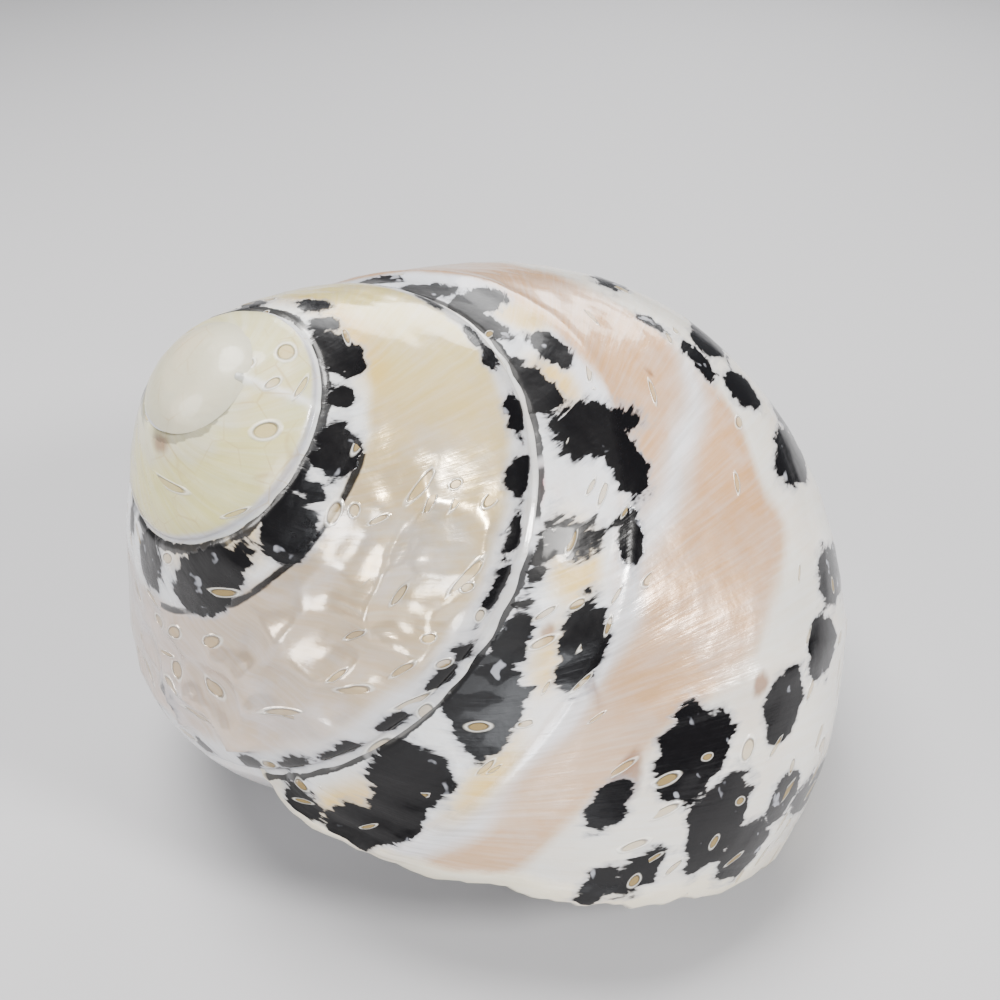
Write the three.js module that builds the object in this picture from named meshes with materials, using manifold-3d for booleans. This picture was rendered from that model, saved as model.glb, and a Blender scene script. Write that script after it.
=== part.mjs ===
// Empty shell of a large sea snail, lying on its mouth. The shell is one piece:
// a tube that widens as it winds clockwise (seen from the apex) around an axis,
// each whorl overlapping the one before it and meeting it along the suture.

import * as THREE from 'three';
import { LoftGeometry } from 'three/addons/geometries/LoftGeometry.js';
import { mergeVertices } from 'three/addons/utils/BufferGeometryUtils.js';
import Module from 'manifold-3d';

// Size: radius of the suture, in mm, one turn before the virtual next whorl.
const sutureRadius = 36;

// Growth along the suture, with turns counted from that point, negative
// towards the apex. Radius and drop below the apex grow by these powers of e.
const radiusGrowth = [ 0.626, - 0.172, - 0.038 ];
const dropGrowth = [ 0.787, - 0.278 ];
const dropAtStart = 1.042;

const apexTurns = - 3.26;
const lipTurns = - 0.26;
const lumenTurns = - 1.86;

// Outline of a whorl. The first two numbers of each row place a point on the
// line from the suture above it to the suture below it: how far along, then
// how far out from it, as shares of its length. The third is how far that
// point lags the growth at the suture, in radians: the slope of the lip.
const outerOutline = [
	[ - 0.22, - 0.12, - 0.15 ],
	[ 0, 0, 0 ],
	[ 0.5, 0.04, - 0.561 ],
	[ 1, 0, - 0.929 ],
	[ 1.402, - 0.342, - 1.139 ],
	[ 1.718, - 1.002, - 1.279 ],
	[ 1.159, - 1.501, - 1.376 ],
];

// The side towards the axis: radius as a share of the suture radius, depth as
// a share of the drop from suture to suture, then the same lag.
const innerOutline = [
	[ 0.22, 2.02, - 1.45 ],
	[ 0.2, 1.45, - 1.1 ],
	[ 0.46, 0.78, - 0.7 ],
	[ 0.78, 0.2, - 0.35 ],
];

// The hollow is cut in lengths: how many, how far each runs into the next, and
// how far the last one runs out of the mouth, in turns.
const lumenParts = 4;
const lumenOverlap = 0.02;
const mouthOverrun = 0.1;

const edgeTolerance = 0.08;

const pointsPerSpan = 3;
const stepsPerTurn = 34;

// Wall thickness and the thin glaze laid over the previous whorl, as shares of
// the distance to the middle of the whorl.
const wallShare = 0.13;
const glazeShare = 0.02;

// Softens every outline so that it never crosses the axis.
const axisGapShare = 0.05;

// Pillar on the axis, from the apex down to the hollow of the base.
const pillarRadius = 9;
const pillarLength = 76;

// Resting attitude, in degrees, and the height of the apex above the floor.
const axisTilt = 35.8;
const apexHeading = - 135.8;
const shellSpin = - 73.5;
const apexHeight = 1.77 * sutureRadius;

const shellColour = '#e6dcc4';

const wasm = await Module();
wasm.setup();

const turn = 2 * Math.PI;

const attitude = new THREE.Matrix4()
	.makeTranslation( 0, 0, apexHeight )
	.multiply( new THREE.Matrix4().makeRotationZ( THREE.MathUtils.degToRad( apexHeading ) ) )
	.multiply( new THREE.Matrix4().makeRotationY( THREE.MathUtils.degToRad( axisTilt ) ) )
	.multiply( new THREE.Matrix4().makeRotationZ( THREE.MathUtils.degToRad( shellSpin ) ) );

// Suture radius and height at an angle along the growth.
function suture( angle ) {

	const t = angle / turn;
	const [ k1, k2, k3 ] = radiusGrowth;
	const [ m1, m2 ] = dropGrowth;
	return {
		radius: sutureRadius * Math.exp( k1 * t + k2 * t * t + k3 * t * t * t ),
		height: - sutureRadius * dropAtStart * Math.exp( m1 * t + m2 * t * t ),
	};

}

function centreOf( points ) {

	return points.reduce( ( sum, p ) => sum.add( p ), new THREE.Vector3() ).divideScalar( points.length );

}

// One closed outline of a whorl at a moment of growth, shrunk towards its middle. With slope 0 it lies in a plane through the axis, and
// with slope 1 it follows a growth line, as the lip does.
function outlineAt( angle, slope, shrink, pointCount ) {

	const controls = [];
	const add = ( lag, place ) => {

		const phase = angle + slope * lag;
		const above = suture( phase ), below = suture( phase + turn );
		const [ radius, height ] = place( above, below.radius - above.radius, below.height - above.height );
		controls.push( new THREE.Vector3( radius, height, slope * lag * sutureRadius ) );

	};

	for ( const [ along, out, lag ] of outerOutline ) {

		add( lag, ( above, dr, dz ) => [
			above.radius + along * dr - out * dz,
			above.height + along * dz + out * dr,
		] );

	}

	for ( const [ share, depth, lag ] of innerOutline ) {

		add( lag, ( above, dr, dz ) => [ share * above.radius, above.height + depth * dz ] );

	}

	const line = new THREE.CatmullRomCurve3( controls, true, 'catmullrom', 0.5 );
	const around = line.getPoints( pointCount ).slice( 0, pointCount );
	const middle = centreOf( around );
	const axisGap = axisGapShare * suture( angle ).radius;

	return around.reverse().map( ( p ) => {

		const reach = THREE.MathUtils.lerp( p.x, middle.x, shrink );
		const radius = ( reach + Math.hypot( reach, 2 * axisGap ) ) / 2;
		const height = THREE.MathUtils.lerp( p.y, middle.y, shrink );
		const phase = angle + p.z / sutureRadius;
		const point = new THREE.Vector3(
			radius * Math.cos( phase ), - radius * Math.sin( phase ), height
		).applyMatrix4( attitude );
		// Whole microns, so that lengths of tube share their end points exactly.
		return point.multiplyScalar( 1000 ).round().divideScalar( 1000 );

	} );

}

function solidOf( geometry ) {

	geometry.deleteAttribute( 'normal' );
	geometry.deleteAttribute( 'uv' );
	const merged = mergeVertices( new THREE.BufferGeometry().copy( geometry ), 1e-3 );
	const triangles = [];
	const index = merged.index.array;

	for ( let i = 0; i < index.length; i += 3 ) {

		const [ a, b, c ] = index.slice( i, i + 3 );
		if ( a !== b && b !== c && c !== a ) triangles.push( a, b, c );

	}

	return new wasm.Manifold( new wasm.Mesh( {
		numProp: 3,
		vertProperties: new Float32Array( merged.attributes.position.array ),
		triVerts: new Uint32Array( triangles ),
	} ) );

}

function geometryOf( solid ) {

	const { vertProperties, triVerts } = solid.getMesh();
	const geometry = new THREE.BufferGeometry();
	geometry.setAttribute( 'position', new THREE.BufferAttribute( new Float32Array( vertProperties ), 3 ) );
	geometry.setIndex( [ ...triVerts ] );
	return geometry;

}

// Two corners of the surface that touch are drawn a little back from each other,
// each towards its own neighbours.
function partCorners( geometry ) {

	const position = geometry.attributes.position;
	const index = geometry.index.array;
	const found = new Map();
	const point = ( i ) => new THREE.Vector3().fromBufferAttribute( position, i );

	for ( let i = 0; i < position.count; i ++ ) {

		const key = point( i ).multiplyScalar( 500 ).round().toArray().join();
		found.set( key, [ ...( found.get( key ) ?? [] ), i ] );

	}

	for ( const corners of found.values() ) {

		if ( corners.length < 2 ) continue;

		for ( const corner of corners ) {

			const around = [];

			for ( let i = 0; i < index.length; i += 3 ) {

				const face = [ index[ i ], index[ i + 1 ], index[ i + 2 ] ];
				if ( face.includes( corner ) ) around.push( ...face.filter( ( v ) => v !== corner ).map( point ) );

			}

			const moved = point( corner ).lerp( centreOf( around ), 0.03 );
			position.setXYZ( corner, ...moved.toArray() );

		}

	}

}

// Solid tube between two moments of growth, in lengths short enough not to meet
// themselves. An open end follows a growth line and comes to a point inside it.
function tube( fromTurns, toTurns, { shrink = 0, pointCount, density, atLip = false } ) {

	const lengths = Math.ceil( ( toTurns - fromTurns ) / 0.62 - 1e-6 );
	const lengthTurns = ( toTurns - fromTurns ) / lengths;
	let solid = null;

	for ( let k = 0; k < lengths; k ++ ) {

		const start = fromTurns + k * lengthTurns;
		const steps = Math.max( 6, Math.round( lengthTurns * density( start ) ) );
		const toLip = atLip && k === lengths - 1;
		const lines = [];

		for ( let i = 0; i <= steps; i ++ ) {

			const share = i / steps;
			lines.push( outlineAt( ( start + lengthTurns * share ) * turn, toLip ? share : 0, shrink, pointCount ) );

		}

		if ( toLip ) {

			const last = lines[ steps ];
			const middle = centreOf( last );
			lines.push( last.map( () => middle ) );

		}

		const piece = solidOf( new LoftGeometry( lines, { capStart: true, capEnd: ! toLip } ) );
		solid = solid ? solid.add( piece ) : piece;

	}

	return solid;

}

const controlCount = outerOutline.length + innerOutline.length;
const outside = {
	pointCount: controlCount * pointsPerSpan,
	density: ( turns ) => stepsPerTurn * ( turns > - 1.7 ? 1 : 0.6 ),
};
const inside = {
	pointCount: controlCount * 2,
	density: () => stepsPerTurn * 0.6,
};

let shell = tube( apexTurns, lipTurns, { ...outside, atLip: true } );

const pillarOutline = [
	[ 0, - pillarLength + 4 ],
	[ 0.6 * pillarRadius, - pillarLength + 2 ],
	[ pillarRadius, - pillarLength ],
	[ pillarRadius, - 0.7 * sutureRadius ],
	[ 0.36 * pillarRadius, - 0.12 * sutureRadius ],
	[ 0.28 * pillarRadius, - 1.2 ],
	[ 0.16 * pillarRadius, - 0.3 ],
	[ 0, 0 ],
];
shell = shell.add( solidOf( new THREE.LatheGeometry(
	pillarOutline.map( ( [ radius, height ] ) => new THREE.Vector2( radius, height ) ), 18
).rotateX( Math.PI / 2 ).applyMatrix4( attitude ) ) );

// Hollow out the whorls, leaving the wall of the whorl before each one whole.
const lumenLength = ( lipTurns - lumenTurns ) / lumenParts;

for ( let k = 0; k < lumenParts; k ++ ) {

	const from = lumenTurns + k * lumenLength;
	const atLip = k === lumenParts - 1;
	const to = from + lumenLength + ( atLip ? mouthOverrun : lumenOverlap );
	const room = tube( from, to, { ...inside, shrink: wallShare, atLip } );
	const whorlBefore = tube( Math.max( apexTurns, from - 1.4 ), to - 0.7, { ...inside, shrink: - glazeShare } );
	shell = shell.subtract( room.subtract( whorlBefore ) );

}

// The lip is ground flat where it meets the floor.
const floor = new THREE.BoxGeometry( 400, 400, 100 ).translate( 0, 0, - 50 );
shell = shell.subtract( solidOf( floor ) );

// Booleans can leave specks and slivers: the shell is the largest piece, without
// edges shorter than the tolerance.
const largest = ( solid ) => solid.decompose().sort( ( a, b ) => b.volume() - a.volume() )[ 0 ];

for ( let pass = 0; pass < 3; pass ++ ) shell = largest( solidOf( geometryOf( largest( shell.simplify( edgeTolerance ) ) ) ) );

const geometry = geometryOf( shell );
partCorners( geometry );
geometry.computeBoundingBox();
const { min, max } = geometry.boundingBox;
geometry.translate( - ( min.x + max.x ) / 2, - ( min.y + max.y ) / 2, 0 );

const mesh = new THREE.Mesh( geometry, new THREE.MeshStandardMaterial( {
	color: shellColour,
	roughness: 0.25,
	metalness: 0,
} ) );
mesh.name = 'shell';

const object = new THREE.Group();
object.add( mesh );

export default object;
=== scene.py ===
import math

import bmesh
import bpy
import numpy as np
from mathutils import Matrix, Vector, noise


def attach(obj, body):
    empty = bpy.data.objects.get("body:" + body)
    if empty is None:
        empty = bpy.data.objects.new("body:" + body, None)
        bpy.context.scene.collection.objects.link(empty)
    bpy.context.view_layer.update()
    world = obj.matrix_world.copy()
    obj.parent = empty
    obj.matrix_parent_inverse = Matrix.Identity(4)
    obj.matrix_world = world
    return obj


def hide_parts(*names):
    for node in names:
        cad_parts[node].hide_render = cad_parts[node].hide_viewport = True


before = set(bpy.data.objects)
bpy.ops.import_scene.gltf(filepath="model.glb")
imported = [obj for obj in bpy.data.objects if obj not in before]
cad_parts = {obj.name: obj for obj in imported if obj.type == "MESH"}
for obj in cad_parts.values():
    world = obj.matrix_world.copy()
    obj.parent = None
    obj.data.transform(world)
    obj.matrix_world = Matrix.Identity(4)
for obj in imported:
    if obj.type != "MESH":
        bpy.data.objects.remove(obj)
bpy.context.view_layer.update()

mm = 0.001
turn = 2 * math.pi

# The coiled form, the same growth as the CAD solid. Lengths in mm, angles in
# radians along the growth, negative towards the apex.
form = {
    "sutureRadius": 36.0,
    "radiusGrowth": (0.626, -0.172, -0.038),
    "dropGrowth": (0.787, -0.278),
    "dropAtStart": 1.042,
    # along the suture-to-suture line, out from it, lag behind the suture
    "outerOutline": [
        (-0.22, -0.12, -0.15), (0, 0, 0), (0.5, 0.04, -0.561), (1, 0, -0.929),
        (1.402, -0.342, -1.139), (1.718, -1.002, -1.279), (1.159, -1.501, -1.376),
    ],
    # share of the suture radius, share of the drop, lag
    "innerOutline": [
        (0.22, 2.02, -1.45), (0.2, 1.45, -1.1), (0.46, 0.78, -0.7), (0.78, 0.2, -0.35),
    ],
    "axisGap": 0.05,
    "wallShare": 0.13,
    "apexTurns": -3.26,
    "lipTurns": -0.26,
    "tilt": 35.8, "heading": -135.8, "spin": -73.5,
    "apex": (-27.395, -20.12, 63.72),
}
spanCount = len(form["outerOutline"]) + len(form["innerOutline"])
sutureSpot, nextSutureSpot = 1.0, 3.0  # places of the two sutures on the outline
outOfReach = 9.0  # mm, farther than any mark spreads


def turnMatrix(axis, degrees):
    c, s = math.cos(math.radians(degrees)), math.sin(math.radians(degrees))
    if axis == "Z":
        return np.array([[c, -s, 0], [s, c, 0], [0, 0, 1]])
    return np.array([[c, 0, s], [0, 1, 0], [-s, 0, c]])


attitude = turnMatrix("Z", form["heading"]) @ turnMatrix("Y", form["tilt"]) @ turnMatrix("Z", form["spin"])


def suture(angle):
    t = angle / turn
    k1, k2, k3 = form["radiusGrowth"]
    m1, m2 = form["dropGrowth"]
    radius = form["sutureRadius"] * np.exp(k1 * t + k2 * t ** 2 + k3 * t ** 3)
    return radius, -form["sutureRadius"] * form["dropAtStart"] * np.exp(m1 * t + m2 * t ** 2)


def through(controls, spot):
    # closed smooth curve through the controls, which are shaped (control, point)
    base = np.floor(spot).astype(int)
    t = spot - base
    rows = np.arange(controls.shape[1])
    before, start, end, after = (controls[(base + k) % spanCount, rows] for k in (-1, 0, 1, 2))
    slopeStart, slopeEnd = (end - before) / 2, (after - start) / 2
    return (start + slopeStart * t + (3 * (end - start) - 2 * slopeStart - slopeEnd) * t ** 2
            + (2 * (start - end) + slopeStart + slopeEnd) * t ** 3)


def lagAt(spot):
    lags = [row[2] for row in form["outerOutline"] + form["innerOutline"]]
    return through(np.repeat(np.array(lags)[:, None], len(spot), axis=1), spot)


def wallPoint(angle, spot, shrink=0.0):
    # point of the shell at a growth angle and a spot on the outline, in mm
    radius, height = suture(angle)
    nextRadius, nextHeight = suture(angle + turn)
    dr, dz = nextRadius - radius, nextHeight - height
    reach, depth = [], []
    for along, out, _ in form["outerOutline"]:
        reach.append(radius + along * dr - out * dz)
        depth.append(height + along * dz + out * dr)
    for share, drop, _ in form["innerOutline"]:
        reach.append(share * radius)
        depth.append(height + drop * dz)
    reach, depth = np.array(reach), np.array(depth)
    r, z = through(reach, spot), through(depth, spot)
    r += shrink * (reach.mean(axis=0) - r)
    z += shrink * (depth.mean(axis=0) - z)
    gap = 2 * form["axisGap"] * radius
    r = (r + np.hypot(r, gap)) / 2
    local = np.stack([r * np.cos(angle), -r * np.sin(angle), z], axis=-1)
    return local @ attitude.T + np.array(form["apex"])


def lipLine(spot):
    # growth angle at which the wall ends: the growth line of the lip, or where
    # the wall comes down to the floor before it
    lip = form["lipTurns"] * turn + lagAt(spot)
    steps = np.linspace(-2.4, 0, 241)
    for j in range(len(spot)):
        heights = wallPoint(lip[j] + steps, np.full(len(steps), spot[j]))[:, 2]
        below = np.nonzero(heights < 0)[0]
        if len(below):
            k = below[0]
            share = heights[k - 1] / (heights[k - 1] - heights[k]) if k else 0
            lip[j] += steps[max(k - 1, 0)] + share * (steps[1] - steps[0])
    return lip


def smooth(low, high, value):
    t = np.clip((value - low) / (high - low), 0, 1)
    return t * t * (3 - 2 * t)


def tone(red, green, blue):
    # screen colour, 0 to 255, as linear light
    s = np.array([red, green, blue]) / 255
    return np.where(s <= 0.04045, s / 12.92, ((s + 0.055) / 1.055) ** 2.4)


# The wall as one sheet: rows run from the apex to the lip, round its edge and
# back inside, and columns run from the suture over the side and the base.
wall = {
    "rows": 520, "rimRows": 6, "liningRows": 70, "liningTurns": 0.85,
    # column number, spot on the outline
    "columns": ((0, 0.5), (4, 1.0), (16, 1.14), (66, 2.86), (80, 3.12), (131, 9.2)),
    "lining": 0.12, "rimBulge": 0.022, "rimRagged": 0.03,
    "coveredFrom": 3.1, "coveredTurns": 1.5,
    "grooveDepth": 0.45, "grooveWidth": 0.7,
    "bandHollow": 0.6, "growthRidge": 0.12, "hammered": 2.6,
}
columnCount = wall["columns"][-1][0] + 1
spots = np.interp(np.arange(columnCount), *zip(*wall["columns"]))
lip = lipLine(spots)
broadChips = np.array([noise.noise(Vector((4.0 * s, 7.3, 0))) for s in spots])
fineChips = np.array([noise.noise(Vector((13 * s, 2.1, 0))) for s in spots])
ragged = broadChips + 0.6 * fineChips
lip = lip - wall["rimRagged"] * (0.5 + ragged)
start = form["apexTurns"] * turn
rowShare = np.linspace(0, 1, wall["rows"])[:, None]
outerAngles = start + (lip - start) * rowShare
rimStep = np.linspace(0, math.pi, wall["rimRows"] + 2)[1:-1, None]
rimAngles = lip + wall["rimBulge"] * np.sin(rimStep)
rimShrink = wall["lining"] * (1 - np.cos(rimStep)) / 2
liningAngles = lip - wall["liningTurns"] * turn * np.linspace(0, 1, wall["liningRows"])[:, None] ** 1.2
angles = np.concatenate([outerAngles, rimAngles, liningAngles])
liningShrink = np.full((wall["liningRows"], 1), wall["lining"])
shrinks = np.concatenate([np.zeros((wall["rows"], 1)), rimShrink, liningShrink])
rowCount = len(angles)
spotGrid = np.broadcast_to(spots, angles.shape)
points = wallPoint(angles.ravel(), spotGrid.ravel(), np.broadcast_to(shrinks, angles.shape).ravel())
points = points.reshape(rowCount, columnCount, 3)

# Where each point is on the shell: turns of growth, mm across from the suture,
# the width between sutures, and mm along the growth lines' direction of travel.
turns = angles / turn
lag = lagAt(spots)
grown = (angles - lag) / turn
steps = np.linalg.norm(np.diff(points, axis=1), axis=2)
across = np.concatenate([np.zeros((rowCount, 1)), np.cumsum(steps, axis=1)], axis=1)
across -= across[:, [int(np.argmin(abs(spots - sutureSpot)))]]
width = np.array([np.interp(nextSutureSpot, spots, row) for row in across])[:, None]
share = across / width
sample = np.linspace(-4, 0.2, 2000)
arc = np.cumsum(suture(sample * turn)[0]) * (sample[1] - sample[0]) * turn
along = np.interp(grown, sample, arc)
axisFoot = np.array(form["apex"])
axisWay = attitude @ np.array([0, 0, 1.0])
offAxis = points - axisFoot
radial = np.linalg.norm(offAxis - (offAxis @ axisWay)[..., None] * axisWay, axis=-1)
toSuture = np.minimum(np.abs(across), np.abs(width - across))
toSuture = np.where((turns > -1.22) & (share > 0.6), outOfReach, toSuture)
rowNumber = np.arange(rowCount)[:, None] + np.zeros(columnCount, int)
rimStart, rimEnd = wall["rows"], wall["rows"] + wall["rimRows"]
isOuter = rowNumber < rimStart
isRim = (rowNumber >= rimStart - 2) & (rowNumber <= rimEnd + 2)
body = smooth(-1.02, -0.82, turns)
wobble = 0.9 * np.sin(turns * 47 + 0.6 * across / 6)
wobble += 0.6 * np.sin(turns * 111 + 1.7)
wobble += 0.5 * np.sin(across * 0.9 + turns * 31)

# Blotches: turns of growth, mm from the suture, half length along the growth,
# half width across, lean in degrees.
blotches = {
    "earlyBand": (
        (-2.04, 2.1, 1.3, 1.5, 10), (-1.96, 2.4, 1.4, 1.8, 15), (-1.87, 2.6, 1.7, 1.6, 0),
        (-1.785, 3.0, 1.6, 2.2, 20), (-1.703, 4.0, 1.5, 2.2, 15), (-1.66, 2.2, 1.1, 1.6, 0),
        (-1.598, 2.4, 2.6, 2.2, 10), (-1.535, 2.2, 1.3, 1.7, 20), (-1.478, 2.9, 2.8, 2.6, 15),
        (-1.425, 1.8, 1.0, 1.5, 0), (-1.377, 3.6, 2.9, 2.9, 25), (-1.325, 2.1, 1.2, 1.6, 0),
        (-1.268, 4.4, 5.0, 3.4, 20), (-1.182, 4.2, 3.0, 3.6, 10), (-1.125, 2.9, 1.6, 2.3, 0),
        (-1.055, 4.6, 3.4, 3.8, 15), (-0.985, 3.6, 2.0, 2.9, 10), (-0.915, 5.2, 3.4, 4.4, 20),
        (-0.845, 4.0, 2.4, 3.3, 0), (-0.775, 5.4, 3.2, 4.6, 15),
    ),
    "bodyBand": (
        (-0.722, 3.4, 2.4, 2.8, 0), (-0.688, 5.6, 2.0, 3.4, 10), (-0.654, 2.0, 2.4, 1.9, 0),
        (-0.632, 7.6, 2.4, 2.2, 30), (-0.594, 1.9, 2.8, 1.9, 0), (-0.572, 9.0, 2.4, 5.6, 18),
        (-0.556, 12.4, 3.2, 2.4, 35), (-0.515, 13.2, 2.2, 1.6, 20), (-0.503, 5.4, 1.4, 3.4, 30),
        (-0.478, 2.2, 3.6, 1.2, -8), (-0.461, 11.0, 3.6, 2.7, 25), (-0.434, 2.9, 3.4, 1.3, 5),
        (-0.405, 4.6, 3.4, 3.8, 20), (-0.393, 8.4, 1.9, 2.2, 25), (-0.352, 6.4, 3.0, 4.6, 15),
        (-0.336, 9.8, 3.4, 3.0, 30), (-0.308, 9.8, 2.2, 3.2, 0), (-0.286, 4.4, 1.8, 2.6, 0),
    ),
    "edgeSegments": (
        (-1.735, 17.6, 2.2, 0.7, 0), (-1.69, 18.4, 2.6, 0.7, 0), (-1.64, 19.2, 1.8, 0.8, 0),
        (-1.612, 19.8, 1.8, 1.0, 0), (-1.563, 21.2, 2.6, 1.1, 4), (-1.527, 21.8, 2.2, 1.5, 0),
        (-1.49, 23.0, 3.6, 0.9, 2), (-1.456, 24.0, 3.6, 0.8, 0), (-1.402, 25.4, 2.8, 1.3, 0),
        (-1.362, 26.3, 2.4, 1.3, 6), (-1.325, 27.3, 1.8, 0.8, 0), (-1.288, 27.9, 3.4, 1.3, 0),
        (-1.262, 27.6, 1.6, 2.0, 0), (-1.222, 28.6, 1.9, 1.1, 0), (-1.197, 22.2, 1.6, 2.0, 20),
    ),
    "lowerBand": (
        (-0.45, 34.2, 4.2, 4.2, 20), (-0.462, 30.6, 1.8, 2.2, 0), (-0.414, 28.6, 2.6, 2.2, 10),
        (-0.484, 44.2, 3.2, 3.0, 0), (-0.51, 48.6, 2.8, 3.4, 0), (-0.437, 43.4, 5.2, 3.6, 25),
        (-0.434, 51.6, 3.4, 2.8, 0), (-0.407, 38.8, 2.8, 2.4, 0), (-0.391, 35.9, 2.2, 1.7, 0),
        (-0.458, 52.6, 3.0, 2.6, 0), (-0.654, 30.3, 1.9, 1.5, 0), (-0.627, 32.6, 2.8, 1.6, 0),
        (-0.612, 38.6, 2.6, 3.2, 25), (-0.585, 45.0, 2.4, 6.0, 35), (-0.545, 53.0, 2.6, 6.5, 30),
        (-0.615, 53.0, 2.4, 5.5, 25), (-0.65, 42.0, 2.6, 6.5, 32), (-0.668, 50.0, 4.4, 2.6, -20),
        (-0.70, 36.5, 2.2, 5.0, 28), (-0.735, 47.0, 2.8, 7.5, 35), (-0.762, 37.0, 3.8, 2.8, 10),
        (-0.785, 50.0, 2.4, 7.0, 30), (-0.83, 38.0, 2.6, 6.0, 34), (-0.845, 46.0, 4.6, 2.6, -15),
        (-0.89, 52.0, 2.4, 6.5, 28), (-0.915, 38.0, 2.6, 5.5, 32), (-0.955, 47.0, 3.0, 7.0, 36),
        (-0.995, 35.0, 2.4, 4.4, 30), (-1.03, 44.0, 2.6, 6.5, 30), (-1.075, 33.0, 2.6, 4.0, 25),
        (-1.12, 40.0, 2.6, 5.5, 32), (-1.165, 31.5, 2.4, 3.4, 25), (-1.22, 37.0, 2.2, 4.5, 30),
    ),
}
blotches["base"] = tuple(
    (-0.47 - 0.045 * k, 64 + 10 * (k % 3) - 0.9 * k, 2.4 + 0.4 * (k % 4), 8.0 - 1.5 * (k % 2), 32 - 12 * (k % 3))
    for k in range(19)
)


def blotchField(rows, grow=1.0):
    # mm inside the edge of the nearest blotch, negative outside
    field = np.full(turns.shape, -outOfReach)
    for when, where, long, broad, lean in rows:
        du = (turns - when) * turn * radial
        dv = across - where
        c, s = math.cos(math.radians(lean)), math.sin(math.radians(lean))
        reach = np.hypot((c * du + s * dv) / (grow * long), (c * dv - s * du) / (grow * broad))
        field = np.maximum(field, (1 - reach) * grow * min(long, broad))
    return field


blotchSize = {"earlyBand": 1.04, "bodyBand": 1.35, "edgeSegments": 1.15, "lowerBand": 1.25, "base": 1.2}
blotch = np.max([blotchField(rows, blotchSize[name]) for name, rows in blotches.items()], axis=0)
brown = blotchField((
    (-0.485, 38.2, 1.3, 1.1, 0), (-0.425, 28.0, 3.4, 2.0, 30), (-0.454, 6.0, 1.1, 1.1, 0),
    (-0.468, 11.5, 4.2, 0.9, 60), (-2.213, 1.3, 1.3, 1.0, 0), (-0.615, 22.0, 0.8, 0.8, 0),
    (-0.448, 14.0, 3.0, 0.7, 70),
))
yellow = blotchField((
    (-0.664, 7.7, 3.0, 3.0, 0), (-0.602, 5.0, 3.2, 2.6, 0), (-0.493, 6.2, 4.0, 3.4, 20),
    (-0.445, 8.4, 3.4, 2.6, 0), (-0.312, 6.3, 5.0, 3.2, 0), (-0.385, 12.0, 5.0, 2.0, 20),
    (-1.65, 5.0, 6.0, 2.0, 0), (-1.30, 2.0, 5.0, 1.6, 0),
))


def bandColour(keys):
    # colour by turns of growth
    stops = [k[0] for k in keys]
    return np.stack([np.interp(turns, stops, [tone(*k[1])[c] for k in keys]) for c in range(3)], axis=-1)


ground = {
    # turns of growth, colour there
    "middle": (
        (-3.3, (192, 186, 158)), (-2.6, (204, 198, 146)), (-2.2, (214, 206, 128)),
        (-1.7, (224, 206, 126)), (-1.52, (220, 194, 134)), (-1.38, (208, 184, 150)),
        (-1.2, (200, 180, 164)), (-0.9, (206, 164, 122)), (-0.7, (210, 162, 112)),
        (-0.55, (208, 160, 112)), (-0.42, (206, 166, 124)),
    ),
    "band": (
        (-3.3, (194, 188, 162)), (-2.2, (208, 202, 160)), (-1.75, (226, 226, 220)),
        (-1.2, (224, 226, 228)), (-0.7, (218, 221, 228)), (-0.3, (226, 226, 224)),
    ),
    "base": ((-3.3, (214, 208, 196)), (-1.2, (220, 216, 206)), (-0.3, (228, 223, 212))),
    "streak": (232, 236, 242), "edgeBand": (206, 208, 212), "earlyEdge": (176, 174, 186),
    "stainYellow": (224, 182, 50), "redStreak": (178, 36, 62), "ridge": (236, 236, 232),
    "rim": (236, 226, 200), "inside": (226, 220, 216),
}
zone = {
    # turns of growth, mm from the suture to the upper band's edge and the lower band's
    "bandEdge": (
        (-2.6, 2.0), (-1.7, 5.2), (-1.5, 4.8), (-1.35, 5.6), (-1.2, 8.2),
        (-0.9, 9.5), (-0.66, 10.5), (-0.45, 12.5), (-0.3, 14.0),
    ),
    "lowerEdge": (
        (-1.3, 29), (-1.0, 29), (-0.7, 28), (-0.65, 28.5), (-0.6, 33),
        (-0.55, 38), (-0.5, 35), (-0.45, 29), (-0.41, 26.5),
    ),
    "redStreakTurn": -0.527, "ridgeTurn": -2.513,
}
bandEdge = np.interp(turns, *zip(*zone["bandEdge"]))
lowerEdge = np.interp(turns, *zip(*zone["lowerEdge"]))
inBand = 1 - smooth(-0.9, 0.9, across - bandEdge + 0.5 * wobble)
slantLine = -0.511 - 0.0069 * (across - 14.3)
offSlant = (turns - slantLine) * turn * radial * 0.75 + wobble
slant = np.exp(-(offSlant / 3.4) ** 2) * smooth(10, 14, across) * smooth(36, 28, across)
strip = smooth(-0.6, 0.8, across - bandEdge + 0.4 * wobble)
strip *= smooth(4.2, 0.6, across - bandEdge - 1.5 + wobble) * smooth(-0.6, -0.53, turns)
inStreak = np.maximum(slant, strip) * body
inLower = smooth(-1.6, 1.6, across - lowerEdge + 0.9 * wobble) * body
edgeFrom = np.interp(turns, (-2.3, -1.9), (0.95, 0.85))
inEdge = smooth(-0.03, 0.04, share - edgeFrom + 0.012 * wobble) * (1 - body)


def lay(under, over, mask):
    return under + (over - under) * np.clip(mask, 0, 1)[..., None]


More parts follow.
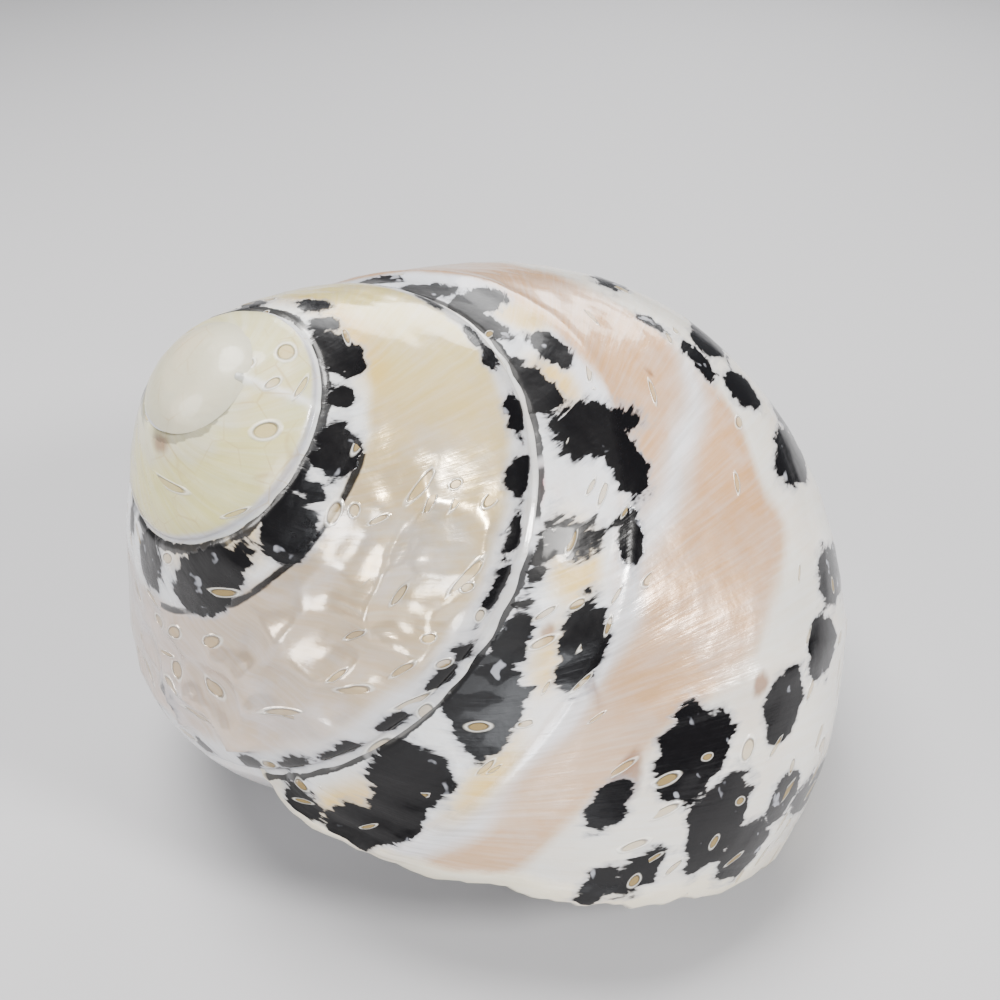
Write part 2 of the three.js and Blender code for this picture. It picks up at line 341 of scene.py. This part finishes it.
turnMm = turn * radial
redStreak = np.exp(-((turns - zone["redStreakTurn"]) * turnMm / 1.5) ** 2 - ((across - 0.95) / 0.4) ** 2)
ridgeLine = np.exp(-((turns - zone["ridgeTurn"]) * turnMm / 0.45) ** 2) * smooth(-0.2, 0.6, across)
earlyEdge = smooth(0.9, 0.95, share) * smooth(1.03, 1.0, share) * smooth(-1.95, -2.1, turns)
colour = bandColour(ground["middle"])
colour = lay(colour, tone(*ground["streak"]), 0.85 * inStreak)
colour = lay(colour, bandColour(ground["band"]), inBand)
colour = lay(colour, bandColour(ground["base"]), inLower)
colour = lay(colour, tone(*ground["edgeBand"]), 0.85 * inEdge)
colour = lay(colour, tone(*ground["earlyEdge"]), 0.6 * earlyEdge)
colour = lay(colour, tone(*ground["stainYellow"]), 0.85 * smooth(-2.0, 1.6, yellow))
colour = lay(colour, tone(*ground["redStreak"]), 0.85 * redStreak)
colour = lay(colour, tone(*ground["ridge"]), 0.8 * ridgeLine)
colour = lay(colour, tone(*ground["rim"]), 1.0 * isRim)
colour = lay(colour, tone(*ground["inside"]), np.where(isOuter | isRim, 0.0, 1.0))

# Masks for the finish: bare nacre, chalky rough areas, and where pits gather.
early = smooth(-2.1, -2.3, turns)
nacre = (1 - inBand) * (1 - inLower) * (1 - inEdge) * isOuter
nacre *= 0.35 + 0.65 * smooth(-1.58, -1.46, turns) * (1 - smooth(-1.12, -1.0, turns))
nacre = np.where(isOuter, nacre * smooth(-2.4, -2.0, turns), 0.9)
bandChalk = inBand * (0.35 + 0.65 * smooth(6.0, 0.5, across)) * (0.3 + 0.7 * body)
chalk = np.clip(0.35 * early + bandChalk + 0.5 * isRim, 0, 1)
pittedMiddle = smooth(-1.62, -1.48, turns) * (1 - smooth(-1.1, -1.0, turns))
pitted = isOuter * (0.13 + 0.45 * early + 0.75 * pittedMiddle + 0.55 * inLower + 0.3 * inBand)

# Relief: the suture's groove, the hollow band below it, growth ridges, and the
# hammered nacre where the outer layer is worn away.
grow = np.clip(width / 45, 0.05, 1)
outward = np.cross(np.gradient(points, axis=0), np.gradient(points, axis=1))
outward /= np.linalg.norm(outward, axis=-1, keepdims=True)
middleOf = points.mean(axis=1, keepdims=True)
if ((points - middleOf) * outward)[: wall["rows"]].sum() < 0:
    outward = -outward
dent = np.zeros(turns.shape)
grooveWidth = wall["grooveWidth"] * np.sqrt(grow)
dent -= wall["grooveDepth"] * np.sqrt(grow) * np.exp(-(toSuture / grooveWidth) ** 2)
dent -= wall["bandHollow"] * grow * np.exp(-((across - 0.5 * bandEdge) / (0.42 * bandEdge)) ** 2) * body
dent += 0.35 * grow * np.exp(-((across - bandEdge - 1.2) / 1.6) ** 2) * body
ridgeWave = np.sin(along * 1.55 + 0.9 * np.sin(along * 0.31)) * (0.5 + 0.5 * np.sin(along * 0.23 + 1.0))
dent += wall["growthRidge"] * ridgeWave * (0.4 + 0.6 * inBand) * grow
step = grown * turn - (form["lipTurns"] * turn - 0.62)
dent += 0.16 * ridgeLine
dent += 0.5 * body * smooth(0.06, -0.02, np.abs(step)) * smooth(20, 30, across)
hammerMask = (1 - inBand) * (1 - inEdge) * smooth(0.26, 0.42, share)
hammerMask *= smooth(-1.56, -1.42, turns) * smooth(-1.12, -1.24, turns)
relief = np.zeros(turns.shape)
for i in range(wall["rows"]):
    for j in range(columnCount):
        spot = Vector(points[i, j])
        low = noise.noise(spot * 0.11)
        fine = 0.0
        if hammerMask[i, j] > 0.02:
            near = noise.voronoi(spot * 0.2 + Vector((low, low * 0.7, 0)) * 0.5)[0][0]
            fine = (near * near - 0.2) * hammerMask[i, j] * wall["hammered"]
        relief[i, j] = 0.28 * low * grow[i, 0] + fine + 0.07 * noise.noise(spot * 0.55)
dent = (dent + relief) * isOuter * smooth(-3.26, -3.0, turns)
points = points + outward * dent[..., None]
points[..., 2] = np.maximum(points[..., 2], 0.02)
print("wall points ready", points.reshape(-1, 3).min(axis=0), points.reshape(-1, 3).max(axis=0))

mesh = bpy.data.meshes.new("shell")
bm = bmesh.new()
place = bm.verts.layers.int.new("place")
sheet = bmesh.ops.create_grid(bm, x_segments=columnCount - 1, y_segments=rowCount - 1, size=1)["verts"]
for v in sheet:
    i = round((v.co.y + 1) / 2 * (rowCount - 1))
    j = round((v.co.x + 1) / 2 * (columnCount - 1))
    v[place] = i * columnCount + j
    v.co = Vector(points[i, j]) * mm
covered = (spotGrid > wall["coveredFrom"]) | (spotGrid < 0.9)
covered &= isOuter & (turns < lip / turn - wall["coveredTurns"])
hidden = [f for f in bm.faces if all(covered[divmod(v[place], columnCount)] for v in f.verts)]
bmesh.ops.delete(bm, geom=hidden, context="FACES")
bmesh.ops.recalc_face_normals(bm, faces=bm.faces)
sides = 0.0
for f in bm.faces:
    firstRow, firstColumn = divmod(f.verts[0][place], columnCount)
    if firstRow < wall["rows"] // 2:
        sides += f.normal.dot(Vector(outward[firstRow, firstColumn]))
if sides < 0:
    bmesh.ops.reverse_faces(bm, faces=bm.faces)

# The apex: a low cap over the first, worn whorl.
apexCap = {"radius": 5.9, "top": 0.07, "drop": 0.0085, "segments": 40, "colourColumn": 44}
capSegments = apexCap["segments"]
cap = bmesh.ops.create_grid(bm, x_segments=capSegments, y_segments=capSegments, size=1)["verts"]
for v in cap:
    out = max(abs(v.co.x), abs(v.co.y))
    way = math.atan2(v.co.y, v.co.x)
    r = out * apexCap["radius"]
    height = apexCap["top"] - apexCap["drop"] * r ** 3
    local = np.array([r * math.cos(way), r * math.sin(way), height])
    v[place] = apexCap["colourColumn"]
    v.co = Vector(attitude @ local + axisFoot) * mm
bmesh.ops.recalc_face_normals(bm, faces=list({f for v in cap for f in v.link_faces}))

# The pillar round which the shell coils, seen only from below.
pillar = {"radius": 8.6, "topRadius": 1.5, "length": 76, "segments": 48, "colourColumn": 40}
post = bmesh.ops.create_cone(
    bm, cap_ends=True, segments=pillar["segments"],
    radius1=pillar["radius"] * mm, radius2=pillar["topRadius"] * mm, depth=pillar["length"] * mm,
)["verts"]
for v in post:
    local = np.array([v.co.x, v.co.y, v.co.z - (pillar["length"] / 2 + 1) * mm]) / mm
    v.co = Vector(attitude @ local + axisFoot) * mm
    v[place] = (rowCount - 1) * columnCount + pillar["colourColumn"]
postFaces = {f for v in post for f in v.link_faces}
postEdges = {e for v in post for e in v.link_edges}
postGeometry = list(postFaces | postEdges | set(post))
bmesh.ops.bisect_plane(bm, geom=postGeometry, plane_co=(0, 0, 0.05 * mm), plane_no=(0, 0, -1), clear_outer=True)
for f in bm.faces:
    f.smooth = True
bm.to_mesh(mesh)
bm.free()
shell = bpy.data.objects.new("shell", mesh)
bpy.context.collection.objects.link(shell)

# Per-point values for the material.
spotsOf = np.empty(len(mesh.vertices), dtype=np.int32)
mesh.attributes["place"].data.foreach_get("value", spotsOf)


def store(name, values):
    layer = mesh.attributes.new(name, "FLOAT", "POINT")
    layer.data.foreach_set("value", np.ascontiguousarray(values.ravel()[spotsOf], dtype=np.float32))


lined = isOuter & (turns > -1.49) & (turns < -1.2)
marks = {
    "blotch": np.where(isOuter, blotch, -outOfReach),
    "brown": np.where(isOuter, brown, -outOfReach),
    "nacre": nacre, "chalk": chalk, "pitted": pitted,
    "edgeLine": np.where(lined, np.abs(across - bandEdge - 0.2), outOfReach),
    "streaks": inStreak * isOuter,
    "outerSide": isOuter * smooth(-3.2, -2.9, turns) * (0.5 + 0.5 * smooth(-2.1, -1.9, turns)),
    "bodyPart": body * isOuter,
    "early": isOuter * smooth(-2.0, -2.3, turns),
}
for name, values in marks.items():
    store(name, values)
tint = mesh.attributes.new("ground", "FLOAT_COLOR", "POINT")
four = np.concatenate([colour, np.ones(turns.shape + (1,))], axis=-1).reshape(-1, 4)[spotsOf]
tint.data.foreach_set("color", np.ascontiguousarray(four, dtype=np.float32).ravel())
corner = np.empty(len(mesh.loops), dtype=np.int32)
mesh.loops.foreach_get("vertex_index", corner)
uv = np.stack([along, across], axis=-1).reshape(-1, 2)[spotsOf][corner] * mm
grownLayer = mesh.uv_layers.new(name="grown")
grownLayer.data.foreach_set("uv", np.ascontiguousarray(uv, dtype=np.float32).ravel())
mesh.attributes.remove(mesh.attributes["place"])
print("shell piece", len(mesh.vertices), "points", len(mesh.polygons), "faces")

finish = {
    "black": (8, 7, 9), "greyEdge": (158, 160, 168), "brown": (126, 82, 48),
    # pitFill: the pits' own fill colour, darkened as painted shade in their hollows; also the cracks' colour
    "pitFill": (176, 150, 96), "pitRim": (240, 236, 226),
    # the next two tints are painted iridescent sheen on the nacre, the cool one also its painted highlight
    "coolSheen": (206, 216, 232), "warmSheen": (224, 190, 158),
    "roughness": 0.16, "coat": 0.5, "coatRoughness": 0.06, "scatter": 0.1,
    "filmThin": 260.0, "filmThick": 520.0, "nacreMetal": 0.42,
}
material = bpy.data.materials.new("shellPolish")
material.use_nodes = True
tree = material.node_tree
tree.nodes.clear()


def node(kind, inputs=None, out=0, **settings):
    made = tree.nodes.new("ShaderNode" + kind)
    for key, value in settings.items():
        setattr(made, key, value)
    for key, value in (inputs or {}).items():
        socket = made.inputs[key]
        if isinstance(value, bpy.types.NodeSocket):
            tree.links.new(value, socket)
        else:
            socket.default_value = value
    return made.outputs[out] if out is not None else made


def calc(operation, a, b=0.0, c=0.0):
    return node("Math", {0: a, 1: b, 2: c}, operation=operation)


def times(first, second):
    return calc("MULTIPLY", first, second)


def ramp(value, low, high, lowTo=0.0, highTo=1.0):
    ends = {"Value": value, "From Min": low, "From Max": high, "To Min": lowTo, "To Max": highTo}
    return node("MapRange", ends, interpolation_type="SMOOTHSTEP")


def mixed(mask, first, second, blend="MIX"):
    made = node("Mix", out=None, data_type="RGBA", blend_type=blend)
    for slot, value in ((0, mask), (6, first), (7, second)):
        if isinstance(value, bpy.types.NodeSocket):
            tree.links.new(value, made.inputs[slot])
        else:
            made.inputs[slot].default_value = value
    return made.outputs[2]


def paint(name):
    return (*tone(*finish[name]), 1.0)


def attribute(name, out="Fac"):
    return node("Attribute", out=out, attribute_name=name)


def speckle(vector, scale, detail=2.0, rough=0.5, distortion=0.0):
    values = {"Vector": vector, "Scale": scale, "Detail": detail, "Roughness": rough, "Distortion": distortion}
    return node("TexNoise", values)


where = node("TexCoord", out="Object")
grownMap = node("UVMap", uv_map="grown")
# millimetre coordinates, and the same stretched along the growth lines
flat = node("VectorMath", {0: grownMap, 3: 1000.0}, operation="SCALE")
lines = node("VectorMath", {0: flat, 1: (1.9, 0.11, 1.0)}, operation="MULTIPLY")
feather = node("VectorMath", {0: flat, 1: (0.85, 0.22, 1.0)}, operation="MULTIPLY")

lineNoise = speckle(lines, 1.0, 4.0, 0.6)
featherNoise = speckle(feather, 1.0, 4.0, 0.62, 0.4)
cloud = speckle(where, 130.0, 4.0, 0.6)
grain = speckle(where, 900.0, 3.0, 0.6)
coarse = speckle(where, 45.0, 2.0, 0.5)

# Oval pits: one in some cells of the grown map, each turned its own way.
cellValues = {"Vector": flat, "Scale": 0.34, "Randomness": 1.0}
cells = node("TexVoronoi", cellValues, out=None, voronoi_dimensions="2D")
cellPlace = node("VectorMath", {0: cells.outputs["Position"], 3: 1.0}, operation="SCALE")
fromPit = node("VectorMath", {0: flat, 1: cellPlace}, operation="SUBTRACT")
chance = node("SeparateColor", {"Color": cells.outputs["Color"]}, out=None)
angleOf = calc("MULTIPLY", chance.outputs[0], 6.28)
turned = node("VectorRotate", {"Vector": fromPit, "Angle": angleOf}, rotation_type="Z_AXIS")
oval = node("VectorMath", {0: turned, 1: (1.0, 2.1, 0.0)}, operation="MULTIPLY")
reach = node("VectorMath", {0: oval}, out=1, operation="LENGTH")
size = ramp(chance.outputs[1], 0.0, 1.0, 0.55, 1.15)
pitReach = calc("DIVIDE", reach, size)
pitChance = times(attribute("pitted"), ramp(coarse, 0.42, 0.62, 0.08, 0.75))
picked = calc("GREATER_THAN", pitChance, chance.outputs[2])
pit = calc("MULTIPLY", ramp(pitReach, 1.0, 0.72), picked)
pitEdge = times(times(ramp(pitReach, 1.38, 1.05), ramp(pitReach, 0.78, 1.0)), picked)

colourNow = attribute("ground", "Color")
# Painted iridescent sheen: cool streaks along the growth lines and warm clouds stand in for the nacre's colour
# shift with the view.
colourNow = mixed(ramp(lineNoise, 0.35, 0.75, 0.0, 0.22), colourNow, paint("coolSheen"))
colourNow = mixed(calc("MULTIPLY", ramp(cloud, 0.42, 0.72), 0.22), colourNow, paint("warmSheen"))
# Painted highlight: a bluish-white pearly highlight laid as colour in clouds over the bare nacre.
paintedPearlHighlight = times(times(ramp(cloud, 0.45, 0.62), attribute("nacre")), 0.3)
colourNow = mixed(paintedPearlHighlight, colourNow, paint("coolSheen"))
lineDepth = calc("MULTIPLY_ADD", attribute("streaks"), 0.22, 0.07)
shade = calc("ADD", ramp(coarse, 0.25, 0.75, 0.86, 1.04), times(ramp(lineNoise, 0.3, 0.7, -0.5, 0.5), lineDepth))
colourNow = mixed(1.0, colourNow, node("CombineColor", {0: shade, 1: shade, 2: shade}), "MULTIPLY")
cracks = node("TexVoronoi", {"Vector": where, "Scale": 300.0}, feature="DISTANCE_TO_EDGE")
crackMask = times(times(ramp(cracks, 0.035, 0.0), attribute("early")), ramp(cloud, 0.4, 0.6))
colourNow = mixed(calc("MULTIPLY", crackMask, 0.45), colourNow, paint("pitFill"))
greyPatch = times(times(ramp(coarse, 0.56, 0.66), attribute("chalk")), attribute("bodyPart"))
colourNow = mixed(calc("MULTIPLY", greyPatch, 0.5), colourNow, paint("greyEdge"))
brownField = calc("ADD", attribute("brown"), calc("MULTIPLY_ADD", cloud, 2.0, -1.0))
brownMask = times(ramp(brownField, -0.3, 0.7), 0.75)
colourNow = mixed(brownMask, colourNow, paint("brown"))
edged = calc("ADD", attribute("blotch"), calc("MULTIPLY_ADD", featherNoise, 3.8, -1.9))
edged = calc("ADD", edged, calc("MULTIPLY_ADD", cloud, 4.4, -2.2))
greyMask = calc("MULTIPLY", ramp(edged, -0.75, 0.15), 0.55)
blackMask = ramp(edged, 0.0, 0.42)
colourNow = mixed(greyMask, colourNow, paint("greyEdge"))
colourNow = mixed(blackMask, colourNow, paint("black"))
flecks = calc("MULTIPLY", ramp(speckle(where, 420.0, 2.0, 0.5), 0.66, 0.72), blackMask)
colourNow = mixed(calc("MULTIPLY", flecks, 0.8), colourNow, paint("greyEdge"))
acrossNow = node("SeparateXYZ", {0: flat}, out=1)
alongOnly = node("VectorMath", {0: flat, 1: (1.0, 0.0, 0.0)}, operation="MULTIPLY")
wave = speckle(alongOnly, 0.55, 3.0, 0.6)
gaps = ramp(speckle(alongOnly, 0.16, 2.0, 0.5), 0.36, 0.44)
seamAway = calc("ABSOLUTE", calc("SUBTRACT", acrossNow, calc("MULTIPLY_ADD", wave, 1.7, -0.15)))
seamMask = calc("MULTIPLY", ramp(seamAway, 0.6, 0.42), calc("MULTIPLY", gaps, attribute("outerSide")))
edgeAway = calc("ADD", attribute("edgeLine"), calc("MULTIPLY_ADD", cloud, 1.2, -0.6))
seamMask = calc("MAXIMUM", seamMask, ramp(edgeAway, 0.5, 0.25))
colourNow = mixed(calc("MULTIPLY", seamMask, 0.97), colourNow, paint("black"))
# The pits' fill colour, darkened as painted shade in the hollows.
colourNow = mixed(calc("MULTIPLY", pit, 0.55), colourNow, paint("pitFill"))
colourNow = mixed(calc("MULTIPLY", pitEdge, 0.6), colourNow, paint("pitRim"))

height = calc("MULTIPLY_ADD", lineNoise, 0.04, calc("MULTIPLY", grain, 0.025))
height = calc("ADD", height, calc("MULTIPLY", cloud, calc("MULTIPLY_ADD", attribute("chalk"), 0.45, 0.12)))
height = calc("ADD", height, calc("MULTIPLY_ADD", pit, -0.6, calc("MULTIPLY", pitEdge, 0.10)))
height = calc("ADD", height, calc("MULTIPLY", blackMask, -0.05))
bump = node("Bump", {"Height": height, "Strength": 0.85, "Distance": mm})
chalkRough = calc("MULTIPLY_ADD", attribute("chalk"), 0.32, finish["roughness"])
roughness = calc("ADD", chalkRough, calc("MULTIPLY_ADD", grain, 0.14, times(pit, 0.2)))
bareNacre = times(attribute("nacre"), calc("SUBTRACT", 1.0, blackMask))
film = times(bareNacre, ramp(coarse, 0.3, 0.7, finish["filmThin"], finish["filmThick"]))
metal = times(times(attribute("nacre"), finish["nacreMetal"]), calc("SUBTRACT", 1.0, blackMask))
chalkCoat = calc("MULTIPLY_ADD", attribute("chalk"), -0.3, finish["coat"])
coat = times(chalkCoat, calc("MULTIPLY_ADD", blackMask, -0.6, 1.0))
surface = node("BsdfPrincipled", {
    "Base Color": colourNow, "Roughness": roughness, "Normal": bump, "IOR": 1.6,
    "Specular IOR Level": calc("MULTIPLY_ADD", blackMask, -0.28, 0.5),
    "Coat Weight": coat, "Coat Roughness": finish["coatRoughness"],
    "Subsurface Weight": finish["scatter"], "Subsurface Radius": (1.0, 0.6, 0.45),
    "Subsurface Scale": 1.2 * mm, "Metallic": metal,
    "Thin Film Thickness": film, "Thin Film IOR": 1.6,
})
node("OutputMaterial", {"Surface": surface}, out=None)
mesh.materials.append(material)
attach(shell, "root")
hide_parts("shell")

# A plain pale floor, soft studio light, and the view.
studio = {
    "floorSize": 1.5, "floorColour": (178, 178, 181),
    # place, size, watts, colour
    "lamps": (
        ((0.36, -0.23, 0.33), 0.11, 3.6, (1.0, 0.98, 0.95)),
        ((-0.12, 0.06, 0.55), 0.3, 5.5, (1.0, 0.98, 0.95)),
        ((-0.42, -0.2, 0.3), 0.24, 2.0, (1.0, 0.97, 0.93)),
        ((0.05, -0.5, 0.14), 0.2, 1.2, (0.93, 0.96, 1.0)),
        ((0.1, 0.45, 0.3), 0.3, 1.6, (1.0, 1.0, 1.0)),
    ),
    "room": (0.86, 0.9, 0.97), "roomStrength": 0.17,
    "camera": (0.00085, -0.11107, 0.11407), "look": 54.42, "lens": 41.24,
}
floorMesh = bpy.data.meshes.new("floor")
bm = bmesh.new()
bmesh.ops.create_grid(bm, x_segments=1, y_segments=1, size=studio["floorSize"])
bm.to_mesh(floorMesh)
bm.free()
floor = bpy.data.objects.new("floor", floorMesh)
bpy.context.collection.objects.link(floor)
floorMaterial = bpy.data.materials.new("floorPaper")
floorMaterial.use_nodes = True
paper = floorMaterial.node_tree.nodes["Principled BSDF"]
paper.inputs["Base Color"].default_value = (*tone(*studio["floorColour"]), 1)
paper.inputs["Roughness"].default_value = 0.7
floorMesh.materials.append(floorMaterial)

for k, (spot, size, watts, shadeOf) in enumerate(studio["lamps"]):
    lamp = bpy.data.lights.new("lamp%d" % k, "AREA")
    lamp.shape, lamp.size, lamp.energy, lamp.color = "DISK", size, watts, shadeOf
    holder = bpy.data.objects.new("lamp%d" % k, lamp)
    holder.location = spot
    holder.rotation_euler = (Vector((0, 0, 0.03)) - Vector(spot)).to_track_quat("-Z", "Y").to_euler()
    bpy.context.collection.objects.link(holder)
world = bpy.data.worlds.new("room")
world.use_nodes = True
world.node_tree.nodes["Background"].inputs["Color"].default_value = (*studio["room"], 1)
world.node_tree.nodes["Background"].inputs["Strength"].default_value = studio["roomStrength"]
bpy.context.scene.world = world

camera = bpy.data.objects.new("camera", bpy.data.cameras.new("camera"))
camera.location = studio["camera"]
camera.rotation_euler = (math.radians(studio["look"]), 0, 0)
camera.data.lens = studio["lens"]
camera.data.clip_start = 0.01
bpy.context.collection.objects.link(camera)
bpy.context.scene.camera = camera
print("studio ready")

bpy.context.view_layer.update()
